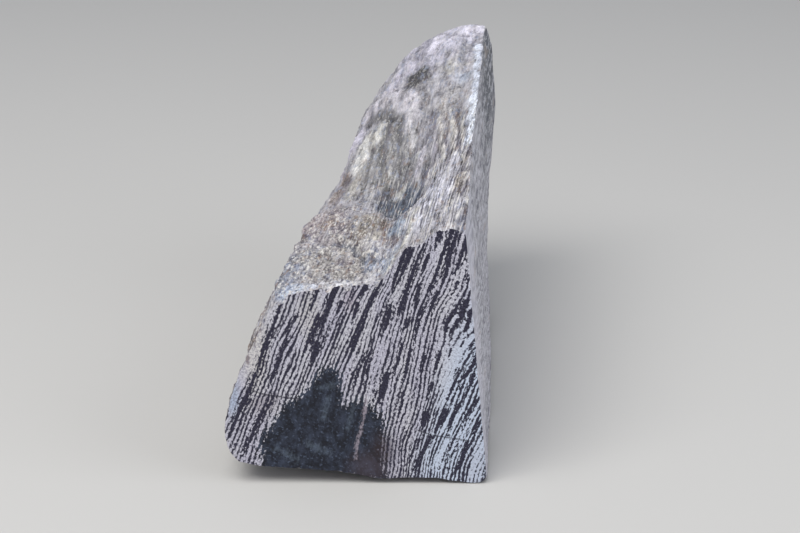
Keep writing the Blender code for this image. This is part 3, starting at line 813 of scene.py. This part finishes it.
def broken_colour_with_painted_light(places, normals):
    """Colour of the broken surface at each vertex before its grain, painted light and shade
    included.
    """
    colour = np.tile(linear(BASE_TINT), (len(places), 1))
    jitter = np.array([jitter_at(place) for place in places])
    for centre, radius, stretch, shade, strength in ZONES:
        bent = places + (ZONE_WANDER[0] + ZONE_WANDER[1] * radius) * jitter
        apart = (bent - np.array(centre)) / (radius, radius * stretch, radius * ZONE_HEIGHT)
        colour = toward(colour, shade, strength * ease(*ZONE_EDGE, np.linalg.norm(apart, axis=1)))
    # Painted shade: the upper rear of the right side faces away from the light, so it is darkened
    rear = ease(*SIDE_FACING, normals[:, 0]) * ease(*REAR_PAINTED_SHADE_Y, places[:, 1])
    rear = rear * ease(*REAR_PAINTED_SHADE_Z, places[:, 2])
    colour = toward(colour, RIGHT_REAR_PAINTED_SHADE, REAR_PAINTED_SHADE_SHARE * rear)
    above = ease(*UPPER_Z, places[:, 2]) * ease(*OFF_SIDE, normals[:, 0])
    bent = places[:, :2] + STREAK_WANDER * jitter[:, :2]
    for width, _, shade, strength, *line in STREAKS:
        inside = lines_distance(bent, [(width, *line)]) / width
        colour = toward(colour, shade, strength * above * ease(*STREAK_EDGE, inside))
    return colour


def face_wash(points):
    """Wash over each (X, Z) point of the sawn face, its strength as alpha."""
    colour = np.zeros((len(points), 4))
    for centre, radii, shade, strength in WASHES:
        apart = np.linalg.norm((points - centre) / np.array(radii), axis=1)
        weight = strength * ease(*WASH_EDGE, apart)
        stronger = weight > colour[:, 3]
        colour[stronger, :3] = linear(shade)
        colour[:, 3] = np.maximum(colour[:, 3], weight)
    return colour


# ---- texture map

def joined_groups(triangles, kind):
    """Which connected group of one kind each triangle is in, and the neighbours."""
    edges = np.sort(triangles[:, [[0, 1], [1, 2], [2, 0]]].reshape(-1, 2), axis=1)
    owner = np.repeat(np.arange(len(triangles)), 3)
    order = np.lexsort(edges.T)
    edges, owner = edges[order], owner[order]
    same = np.all(edges[1:] == edges[:-1], axis=1)
    pairs = np.stack([owner[:-1][same], owner[1:][same]], 1)
    joined = pairs[kind[pairs[:, 0]] == kind[pairs[:, 1]]]
    group = np.arange(len(triangles))
    while True:
        lower = np.minimum(group[joined[:, 0]], group[joined[:, 1]])
        following = group.copy()
        np.minimum.at(following, joined[:, 0], lower)
        np.minimum.at(following, joined[:, 1], lower)
        following = following[following[following]]
        if np.array_equal(following, group):
            return np.unique(group, return_inverse=True)[1], pairs
        group = following


def view_kinds(triangles, normals, sawn_count):
    """Projection that suits each triangle; the sawn face is a kind of its own."""
    toward_viewer = np.array([view[0] for view in PROJECTIONS])
    kind = (normals[triangles].sum(1) @ toward_viewer.T).argmax(1)
    kind[-sawn_count:] = len(PROJECTIONS)
    for _ in range(ISLAND_ROUNDS):
        group, pairs = joined_groups(triangles, kind)
        small = np.bincount(group)[group] < SMALL_ISLAND
        for here, there in (pairs.T, pairs.T[::-1]):
            turned = small[here] & ~small[there] & (kind[there] < len(PROJECTIONS))
            kind[here[turned]] = kind[there[turned]]
        if not small.any():
            break
    return kind, joined_groups(triangles, kind)[0]


def shelved(size):
    """Corner of each island on the shelves of a square map, and its side."""
    side = max(size[:, 0].max(), MAP_ROOM * math.sqrt(size.prod(1).sum()))
    corner = np.zeros((len(size), 2))
    pen, shelf = np.zeros(2), 0.0
    for island in np.argsort(-size[:, 1]):
        if pen[0] + size[island, 0] > side:
            pen = np.array([0, pen[1] + shelf])
            shelf = 0.0
        corner[island] = pen
        pen[0] += size[island, 0]
        shelf = max(shelf, size[island, 1])
    return corner, max(side, pen[1] + shelf)


def bake_map(data, places, normals, triangles, sawn_count):
    """Texture map in large islands, the sawn face at the largest scale."""
    kind, group = view_kinds(triangles, normals, sawn_count)
    views = PROJECTIONS + [SAWN_PROJECTION]
    axes = np.array([[view[1], view[2]] for view in views], float)
    scale = np.array([view[3] for view in views])
    flat = np.einsum("tcx,tax->tca", places[triangles], axes[kind]) * scale[kind][:, None, None]
    count = group.max() + 1
    low, high = np.full((count, 2), np.inf), np.full((count, 2), -np.inf)
    np.minimum.at(low, group, flat.min(1))
    np.maximum.at(high, group, flat.max(1))
    corner, side = shelved(high - low + ISLAND_GAP)
    flat += (corner - low + ISLAND_GAP / 2)[group][:, None, :]
    layer = data.uv_layers.new(name="OFBake")
    layer.data.foreach_set("uv", (flat / side).astype(np.float32).ravel())


# ---- stone

def store(data, name, kind, values):
    """Save one value for each vertex."""
    layer = data.attributes.new(name, kind, "POINT")
    field = {"FLOAT": "value", "FLOAT_VECTOR": "vector", "FLOAT_COLOR": "color"}[kind]
    layer.data.foreach_set(field, np.ascontiguousarray(values, np.float32).ravel())


def store_looks(data, places, normals, height, fibre):
    """Save what the materials read."""
    on_face = places[:, [0, 2]]
    store(data, "flow", "FLOAT_VECTOR", flow_coordinates(places))
    store(data, "relief", "FLOAT", height)
    store(data, "fibre", "FLOAT", fibre)
    for name, lines, taper in (("ink", DARK_BANDS, DARK_TAPER), ("crack", CRACKS, 0),
                               ("glint", GLINTS, 0), ("vein", VEIN, 0)):
        inside = lines_distance(on_face, lines, taper)
        store(data, name, "FLOAT", np.clip(inside, *STROKE_LIMITS))
    chalk = [strength * ease(*CHALK_EDGE, lines_distance(on_face, [line]))
             for strength, *line in PALE_BANDS]
    store(data, "chalk", "FLOAT", np.max(chalk, axis=0))
    store(data, "wash", "FLOAT_COLOR", face_wash(on_face))
    store(data, "patch", "FLOAT", np.clip(outline_distance(on_face, PATCH), *PATCH_LIMITS))
    tint_and_painted_light = broken_colour_with_painted_light(places, normals)
    store(data, "tint_and_painted_light", "FLOAT_COLOR", np.hstack([tint_and_painted_light, np.ones((len(tint_and_painted_light), 1))]))


def build_stone(origin):
    """Detailed stone in the row frame."""
    places, normals, height, fibre, broken, sawn = stone_mesh(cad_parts[NODE], origin)
    data = bpy.data.meshes.new("rhyolite_stone")
    triangles = np.vstack([broken, sawn])
    data.from_pydata((places * MM + np.array(origin)).tolist(), [], triangles.tolist())
    store_looks(data, places, normals, height, fibre)
    bake_map(data, places, normals, triangles, len(sawn))
    data.update()
    for material in (sawn_material(), broken_material(), joint_material()):
        data.materials.append(material)
    side = normals[broken].mean(1)[:, 0] > SIDE_MATERIAL
    index = np.concatenate([np.where(side, 2, 1), np.zeros(len(sawn), int)])
    data.polygons.foreach_set("material_index", index.astype(np.int32))
    data.polygons.foreach_set("use_smooth", [True] * len(data.polygons))
    data.set_sharp_from_angle(angle=math.radians(SHADING_ANGLE))
    return linked("rhyolite_stone", data)


# ---- materials

class Paint:
    """Short names for the nodes of one material."""

    def __init__(self, name):
        self.material = bpy.data.materials.new(name)
        self.material.use_nodes = True
        self.tree = self.material.node_tree
        self.shader = self.tree.nodes["Principled BSDF"]

    def node(self, kind, **inputs):
        """New node with its inputs set; the one called i2 is the third."""
        made = self.tree.nodes.new("ShaderNode" + kind)
        for key, value in inputs.items():
            numbered = key[0] == "i" and key[1:].isdigit()
            self.set(made.inputs[int(key[1:]) if numbered else key], value)
        return made

    def set(self, socket, value):
        if isinstance(value, bpy.types.NodeSocket):
            self.tree.links.new(value, socket)
        elif value is not None:
            socket.default_value = value

    def attribute(self, name, output="Fac"):
        made = self.node("Attribute")
        made.attribute_name = name
        return made.outputs[output]

    def parts(self, vector):
        return self.node("SeparateXYZ", Vector=vector).outputs

    def math(self, operation, a, b=None):
        made = self.node("Math", i0=a, i1=b)
        made.operation = operation
        return made.outputs[0]

    def add(self, a, b):
        return self.math("ADD", a, b)

    def times(self, a, b):
        return self.math("MULTIPLY", a, b)

    def total(self, start, *terms):
        """A start value plus each mask times its weight."""
        for mask, weight in terms:
            start = self.add(start, self.times(mask, weight))
        return start

    def wave(self, value, length):
        return self.math("SINE", self.times(value, 2 * math.pi / length))

    def pattern(self, name, vector):
        """A noise pattern, from 0 to 1."""
        stretch, detail, roughness, *rest = PATTERNS[name]
        distortion, offset = rest or (0, STILL)
        place = self.node("Mapping", Vector=vector, Scale=stretch, Location=offset)
        made = self.node("TexNoise", Vector=place.outputs[0], Scale=1, Detail=detail,
                         Roughness=roughness, Distortion=distortion)
        return made.outputs["Fac"]

    def ripple(self, name, vector):
        """A noise pattern with its middle at 0."""
        return self.add(self.pattern(name, vector), -0.5)

    def span(self, value, edge, share=(0, 1)):
        """Go smoothly from the first share to the second across an edge."""
        low, high = edge
        made = self.node("MapRange", i0=value, i1=low, i2=high, i3=share[0], i4=share[1])
        made.interpolation_type = "SMOOTHSTEP"
        return made.outputs[0]

    def mix(self, factor, a, b, blend="MIX"):
        made = self.node("Mix")
        made.data_type = "RGBA"
        made.blend_type = blend
        self.set(made.inputs[0], factor)
        self.set(made.inputs[6], (*linear(a), 1) if isinstance(a, tuple) else a)
        self.set(made.inputs[7], (*linear(b), 1) if isinstance(b, tuple) else b)
        return made.outputs[2]

    def tinted(self, value):
        """The tint at the vertices, with its painted light and shade, made lighter or darker by a
        value.
        """
        shade = self.node("CombineColor", i0=value, i1=value, i2=value).outputs[0]
        return self.mix(1, self.attribute("tint_and_painted_light", "Color"), shade, "MULTIPLY")

    def layers(self, colour, table, masks, near=None):
        """Colour with a table of layers over it."""
        for name, edge, share, shade in table:
            weight = self.span(masks[name], edge, share)
            if name in FADING:
                weight = self.times(near, weight)
            colour = self.mix(weight, colour, shade)
        return colour

    def bump(self, height, strength, distance):
        made = self.node("Bump", Height=height, Strength=strength,
                         Distance=distance * MM)
        self.set(self.shader.inputs["Normal"], made.outputs[0])

    def finish(self, colour, roughness, specular=0.35):
        self.set(self.shader.inputs["Specular IOR Level"], specular)
        self.set(self.shader.inputs["Base Color"], colour)
        self.set(self.shader.inputs["Roughness"], roughness)
        return self.material


def sawn_material():
    """Cut surface: dark, broken flow bands in a pale lilac ground, and a glassy patch."""
    p = Paint("rhyolite_sawn")
    flow = p.attribute("flow", "Vector")
    across, dip, _ = p.parts(flow)
    wander = p.ripple("wander", flow)
    crinkle = p.times(p.ripple("crinkle", flow), p.span(dip, CALM_DIP, (1, 0.45)))
    shift = p.node("CombineXYZ", X=p.total(0, (wander, 2), (crinkle, 0.6)))
    bent = p.node("VectorMath", i0=flow, i1=shift.outputs[0]).outputs[0]
    fine = p.ripple("bands", bent)
    dots = p.ripple("dots", flow)
    thin = p.wave(p.parts(bent)[0], BAND_PITCH)
    wide = p.wave(p.total(across, (wander, 5)), WIDE_PITCH)
    bands = p.total(0.03, (fine, 2.4), (dots, 2.2), (thin, 0.38), (wide, 0.12))

    edge = p.total(0, (crinkle, 0.5), (dots, 1.1), (fine, 0.7))
    inked = p.add(p.attribute("ink"), edge)
    strokes = p.span(inked, (-0.22, 0.14))
    halo = p.span(inked, (-0.8, -0.22))
    low = p.times(p.span(dip, LOW_DIP), p.span(across, LOW_ACROSS))
    striped = p.total(bands, (halo, -0.10), (strokes, 0.74), (p.attribute("chalk"), -0.75),
                      (low, 0.16))
    dark = p.span(striped, (-0.20, 0.30))

    wash, washed = p.attribute("wash", "Color"), p.attribute("wash", "Alpha")
    light = p.mix(p.span(p.pattern("hue", flow), (0.35, 0.65)), LILAC, PEARL)
    light = p.mix(p.span(across, ICE_ACROSS), light, ICE)
    light = p.mix(washed, light, wash)
    grain = p.pattern("grain", flow)
    grainy = p.span(across, ICE_ACROSS, (1, 0.4))
    light = p.mix(p.times(grainy, p.span(grain, (0.34, 0.58), (0.65, 0))), light, GRAIN_SHADE)
    light = p.mix(p.times(grainy, p.span(dots, (-0.02, 0.16), (0, 0.45))), light, DOT_SHADE)
    black = p.mix(p.span(grain, (0.35, 0.75)), BAND_BLACK, BAND_GREY)
    colour = p.mix(dark, light, black)

    glass = p.total(p.attribute("patch"), (crinkle, 1), (bands, 1.3), (dots, 2.6))
    vein = p.span(p.total(p.attribute("vein"), (edge, 1.3)), (-0.25, 0.3))
    glint = p.span(p.total(p.attribute("glint"), (edge, 2.6)), (-0.7, 0.9))
    flecks = p.span(p.pattern("flecks", flow), (0.56, 0.70), (0, 0.55))
    deep = p.span(p.pattern("mottle", flow), (0.38, 0.72))
    deep = p.mix(deep, GLASS_BLACK, GLASS_BLUE)
    deep = p.mix(flecks, deep, GLASS_FLECK)
    deep = p.mix(p.times(glint, 0.32), deep, GLINT_SHADE)
    deep = p.mix(p.times(washed, 0.7), deep, wash)
    deep = p.mix(p.times(vein, 0.9), deep, VEIN_SHADE)
    colour = p.mix(p.span(glass, (-0.25, 0.30)), colour, deep)
    crack = p.span(p.total(p.attribute("crack"), (dots, 0.25)), (-0.16, 0.06))
    colour = p.mix(p.times(crack, 0.8), colour, CRACK_SHADE)

    p.bump(p.total(0, (dark, -0.5), (grain, 0.5)), 0.25, 0.12)
    return p.finish(colour, p.span(dark, (0, 1), (0.62, 0.5)), 0.3)


def broken_material():
    """Weathered surface: granular, streaked along the bands, with painted shade in the crevices.
    """
    p = Paint("rhyolite_broken")
    flow = p.attribute("flow", "Vector")
    height = p.attribute("relief")
    fibre = p.attribute("fibre")
    near = p.span(p.parts(flow)[2], (30, 80), (1, 0.4))
    streak = p.ripple("streak", flow)
    speck = p.ripple("speck", flow)
    patches = p.ripple("patches", flow)
    value = p.total(0, (streak, p.total(0.9, (fibre, 3))),
                    (speck, p.total(3.4, (fibre, -1))))
    # The relief lightens the crests, partly as wear and partly as painted light, and darkens the
    # hollows with painted shade
    value = p.total(0.96, (value, near), (patches, p.span(near, (0.4, 1), (2.6, 1.3))),
                    (height, 0.35))
    crumb = p.pattern("crumb", flow)
    splinter = p.total(p.pattern("splinter", flow), (crumb, -1))
    masks = {
        "blue": p.pattern("blue", flow),
        "rust": p.pattern("rust", flow),
        "crumb": p.total(crumb, (splinter, fibre)),
        "bands": p.pattern("broken bands", flow),
        "height": height,
    }
    colour = p.layers(p.tinted(value), BROKEN_LAYERS, masks, near)
    p.bump(p.total(speck, (p.pattern("pits", flow), 0.35)), 0.6, 0.4)
    return p.finish(colour, p.span(speck, (-0.2, 0.2), (0.82, 0.62)))


def joint_material():
    """Right side, close to a band: cut bands wander over it like wood grain."""
    p = Paint("rhyolite_joint")
    flow = p.attribute("flow", "Vector")
    across, _, rearward = p.parts(flow)
    crinkle = p.ripple("joint crinkle", flow)
    bent = p.total(across, (p.ripple("joint wander", flow), 3.2), (crinkle, 1.3))
    broad = p.ripple("broad", flow)
    veins = p.pattern("veins", flow)
    lines = p.total(p.pattern("lines", flow), (veins, -1))
    speck = p.pattern("joint speck", flow)
    band = p.total(veins, (p.wave(bent, BAND_PITCH), 0.10),
                   (lines, p.span(rearward, (20, 60))))
    value = p.total(1.11, (broad, 1.8), (p.wave(bent, WIDE_PITCH), 0.07), (crinkle, 0.7))
    masks = {"band": band, "speck": speck, "broad": broad, "rearward": rearward}
    colour = p.layers(p.tinted(value), JOINT_LAYERS, masks)
    p.bump(p.total(0, (speck, 1.2), (band, 1.4)), 0.5, 0.35)
    return p.finish(colour, p.span(speck, (0.3, 0.7), (0.75, 0.6)))


# ---- scene

def floor():
    """Pale floor, much larger than the view."""
    mesh = bmesh.new()
    bmesh.ops.create_grid(mesh, x_segments=1, y_segments=1, size=FLOOR_REACH)
    data = bpy.data.meshes.new("floor")
    mesh.to_mesh(data)
    mesh.free()
    p = Paint("floor")
    p.set(p.shader.inputs["Base Color"], (*linear(FLOOR_SHADE), 1))
    p.set(p.shader.inputs["Roughness"], FLOOR_ROUGHNESS)
    data.materials.append(p.material)
    made = linked("floor", data)


def studio():
    """Pale world, a soft box overhead and a weaker one at the right."""
    world = bpy.data.worlds.new("studio")
    world.use_nodes = True
    background = world.node_tree.nodes["Background"]
    background.inputs["Color"].default_value = SKY
    background.inputs["Strength"].default_value = SKY_STRENGTH
    bpy.context.scene.world = world
    for name, place, width, power, colour in SOFT_BOXES:
        data = bpy.data.lights.new(name, "AREA")
        data.size = width
        data.energy = power
        data.color = colour
        made = linked(name, data)
        made.location = place
        aim = Vector(LIGHT_TARGET) - Vector(place)
        made.rotation_euler = aim.to_track_quat("-Z", "Y").to_euler()
    bpy.context.scene.view_settings.view_transform = "Standard"


def camera(origin):
    """Camera in front of the sawn face, looking down on it."""
    data = bpy.data.cameras.new("camera")
    data.sensor_width = SENSOR_WIDTH
    data.lens = CAMERA_FOCAL / IMAGE_WIDTH * SENSOR_WIDTH
    data.clip_start = CLIP_START
    made = linked("camera", data)
    made.location = Vector(CAMERA_PLACE) * MM + origin
    made.rotation_euler = (math.radians(UPRIGHT - CAMERA_PITCH), 0, 0)
    bpy.context.scene.camera = made


def main():
    noise.seed_set(NOISE_SEED)
    origin = drawing_origin(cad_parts[NODE])
    camera(origin)
    studio()
    floor()
    stone = build_stone(origin)
    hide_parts(NODE)
    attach(stone, "root")
    bpy.context.view_layer.update()


main()
